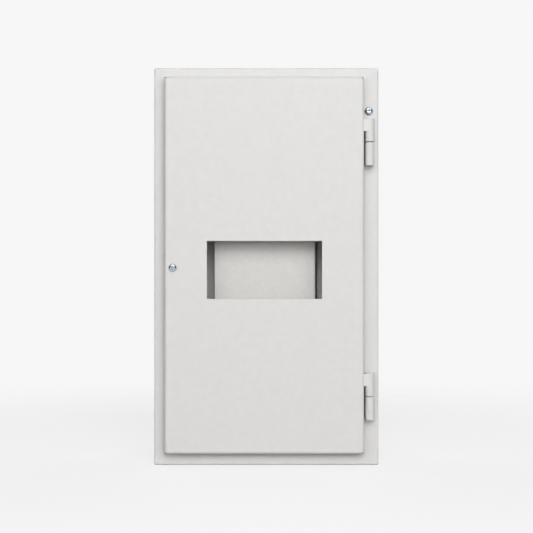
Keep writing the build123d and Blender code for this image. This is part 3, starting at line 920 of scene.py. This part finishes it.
class ENCLOSURE_OT_stage(bpy.types.Operator):
    """Set the pale floor, the softboxes, the world and the camera"""

    bl_idname = "enclosure.stage"
    bl_label = "Stage"

    def execute(self, context):
        settings = context.scene.enclosure_stage
        self.floor(settings)
        aside, *side_place = SIDE_PLACE
        behind, *rear_place = REAR_PLACE
        unreflected = (
            self.softbox("front_softbox", *FRONT_PLACE, settings.front_power),
            self.softbox("left_softbox", -aside, *side_place, settings.left_power),
            self.softbox("right_softbox", aside, *side_place, settings.right_power),
            self.softbox("broad_softbox", *BROAD_PLACE, settings.broad_power),
            self.softbox("left_rear_softbox", -behind, *rear_place, settings.rear_power),
            self.softbox("right_rear_softbox", behind, *rear_place, settings.rear_power),
        )
        # the powder coat would mirror these as white patches, and the screws would lose their dark sides
        for lamp in unreflected:
            lamp.visible_glossy = False
        self.softbox("overhead_softbox", *OVERHEAD_PLACE, settings.overhead_power)
        for name, side in (("left_flag", -1), ("right_flag", 1)):
            self.flag(name, side)
        self.world(context.scene, settings)
        self.camera(context.scene, settings)
        context.scene.view_settings.view_transform = "Standard"
        return {"FINISHED"}

    def softbox(self, name, azimuth, elevation, distance, size, power):
        """A softbox that faces the door, to the camera's right by azimuth and above it by elevation."""
        turn, rise = math.radians(azimuth), math.radians(elevation)
        door = Vector((0.0, cad_box[0][1], 0.0))
        away = Vector((math.sin(turn) * math.cos(rise), -math.cos(turn) * math.cos(rise), math.sin(rise)))
        light = bpy.data.lights.new(name, "AREA")
        light.shape = "RECTANGLE"
        light.size, light.size_y = size
        light.energy = power
        lamp = bpy.data.objects.new(name, light)
        bpy.context.scene.collection.objects.link(lamp)
        lamp.location = door + distance * away
        lamp.rotation_euler = (-away).to_track_quat("-Z", "Y").to_euler()
        lamp.visible_camera = False
        return lamp

    def flag(self, name, side):
        """A black panel beside the camera, which only reflections show: it gives bright metal its dark
        sides."""
        mesh = bpy.data.meshes.new(name)
        x = side * FLAG_ASIDE
        far, near = FLAG_DEPTHS
        low, high = FLAG_HEIGHTS
        mesh.from_pydata(
            [(x, far, low), (x, near, low), (x, near, high), (x, far, high)], [], [(0, 1, 2, 3)])
        panel = new_piece(name, mesh)
        material, tree, output = blank_material("black_felt")
        felt = node(tree, "ShaderNodeBsdfDiffuse", {"Color": linear("0A0A0A")})
        tree.links.new(felt.outputs[0], output.inputs["Surface"])
        mesh.materials.append(material)
        for rays in ("camera", "diffuse", "transmission", "shadow"):
            setattr(panel, f"visible_{rays}", False)

    def floor(self, settings):
        """A matt white sweep that keeps a soft shadow and fades into the background."""
        mesh = bpy.data.meshes.new("studio_floor")
        base = cad_box[0][2] - FLOOR_GAP
        corners = [(x * FLOOR_REACH, y * FLOOR_REACH, base) for x, y in ((-1, -1), (1, -1), (1, 1), (-1, 1))]
        mesh.from_pydata(corners, [], [(0, 1, 2, 3)])
        floor = new_piece("studio_floor", mesh)
        material, tree, output = blank_material("matt_white_floor")
        place = node(tree, "ShaderNodeTexCoord").outputs["Object"]
        flat = node(tree, "ShaderNodeVectorMath", {0: place, 1: (1.0, 1.0, 0.0)}, operation="MULTIPLY")
        far = node(tree, "ShaderNodeVectorMath", {0: flat.outputs[0]}, operation="LENGTH")
        fade = node(tree, "ShaderNodeMapRange", {
            "Value": far.outputs["Value"], "From Min": FLOOR_FADE[0], "From Max": FLOOR_FADE[1],
        }, interpolation_type="SMOOTHSTEP")
        speckle = node(tree, "ShaderNodeTexNoise", {"Vector": place, "Scale": per_metre(6.0)})
        tone = node(tree, "ShaderNodeValToRGB", {"Fac": speckle.outputs["Fac"]})
        for element, factor in zip(tone.color_ramp.elements, FLOOR_TONES):
            element.color = shade(settings.background, factor)
        matt = node(tree, "ShaderNodeBsdfDiffuse", {"Color": tone.outputs["Color"]})
        glow = node(tree, "ShaderNodeEmission", {
            "Color": rgba(settings.background), "Strength": settings.floor_glow})
        lit = node(tree, "ShaderNodeAddShader", {0: matt.outputs[0], 1: glow.outputs[0]})
        ray = node(tree, "ShaderNodeLightPath").outputs
        shine = node(tree, "ShaderNodeMath", {
            0: ray["Is Camera Ray"], 1: ray["Is Glossy Ray"]}, operation="MAXIMUM")
        seen = node(tree, "ShaderNodeMath", {
            0: shine.outputs[0], 1: ray["Is Transmission Ray"]}, operation="MAXIMUM")
        floor_surface = node(tree, "ShaderNodeMixShader", {
            0: seen.outputs[0], 1: matt.outputs[0], 2: lit.outputs[0]})
        clear = node(tree, "ShaderNodeBsdfTransparent")
        surface = node(tree, "ShaderNodeMixShader", {
            0: fade.outputs["Result"], 1: floor_surface.outputs[0], 2: clear.outputs[0]})
        tree.links.new(surface.outputs[0], output.inputs["Surface"])
        mesh.materials.append(material)

    def world(self, scene, settings):
        """Plain light from all round, and the pale background for the camera and for reflections."""
        world = bpy.data.worlds.new("studio")
        world.use_nodes = True
        tree = world.node_tree
        tree.nodes.clear()
        ray = node(tree, "ShaderNodeLightPath").outputs
        shine = node(tree, "ShaderNodeMath", {
            0: ray["Is Camera Ray"], 1: ray["Is Transmission Ray"]}, operation="MAXIMUM")
        seen = node(tree, "ShaderNodeMath", {
            0: shine.outputs[0], 1: ray["Is Glossy Ray"]}, operation="MAXIMUM")
        ambient = node(tree, "ShaderNodeBackground", {
            "Color": (1.0, 1.0, 1.0, 1.0), "Strength": settings.ambient})
        backdrop = node(tree, "ShaderNodeBackground", {
            "Color": rgba(settings.background), "Strength": 1.0})
        mixed = node(tree, "ShaderNodeMixShader", {
            0: seen.outputs[0], 1: ambient.outputs[0], 2: backdrop.outputs[0]})
        output = node(tree, "ShaderNodeOutputWorld", {"Surface": mixed.outputs[0]})
        output.is_active_output = True
        scene.world = world

    def camera(self, scene, settings):
        """A camera square on to the door, at the height of the box's middle."""
        lens = bpy.data.cameras.new("front_camera")
        lens.lens = settings.lens
        lens.sensor_width = SENSOR_WIDTH
        eye = bpy.data.objects.new("front_camera", lens)
        scene.collection.objects.link(eye)
        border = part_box("box_body")[0][1]
        eye.location = (CAMERA_SHIFT[0], border - settings.distance, CAMERA_SHIFT[1])
        eye.rotation_euler = (math.pi / 2, 0.0, 0.0)
        scene.camera = eye


class ENCLOSURE_PT_panel(bpy.types.Panel):
    """Lists the enclosure's pieces and their settings"""

    bl_idname = "ENCLOSURE_PT_panel"
    bl_label = "Breaker enclosure"
    bl_space_type = "VIEW_3D"
    bl_region_type = "UI"
    bl_category = "Enclosure"

    def draw(self, context):
        for operator in OPERATORS:
            self.layout.operator(operator.bl_idname)
        for group in GROUPS:
            settings = getattr(context.scene, GROUPS[group])
            box = self.layout.box()
            for name in group.__annotations__:
                box.prop(settings, name)


GROUPS = {
    EnclosureFinish: "enclosure_finish",
    EnclosureThreads: "enclosure_threads",
    EnclosureStage: "enclosure_stage",
}
OPERATORS = (
    ENCLOSURE_OT_box,
    ENCLOSURE_OT_door,
    ENCLOSURE_OT_plate,
    ENCLOSURE_OT_hinges,
    ENCLOSURE_OT_studs,
    ENCLOSURE_OT_nuts,
    ENCLOSURE_OT_washers,
    ENCLOSURE_OT_screws,
    ENCLOSURE_OT_stage,
)


def register():
    for made in (*GROUPS, *OPERATORS, ENCLOSURE_PT_panel):
        bpy.utils.register_class(made)
    for group, name in GROUPS.items():
        setattr(bpy.types.Scene, name, bpy.props.PointerProperty(type=group))


def unregister():
    for name in GROUPS.values():
        delattr(bpy.types.Scene, name)
    for made in (ENCLOSURE_PT_panel, *reversed(OPERATORS), *reversed(GROUPS)):
        bpy.utils.unregister_class(made)


def main():
    register()
    bpy.ops.enclosure.box()
    bpy.ops.enclosure.door()
    bpy.ops.enclosure.plate()
    bpy.ops.enclosure.hinges()
    bpy.ops.enclosure.studs()
    bpy.ops.enclosure.nuts()
    bpy.ops.enclosure.washers()
    bpy.ops.enclosure.screws()
    bpy.ops.enclosure.stage()


if __name__ == "__main__":
    main()
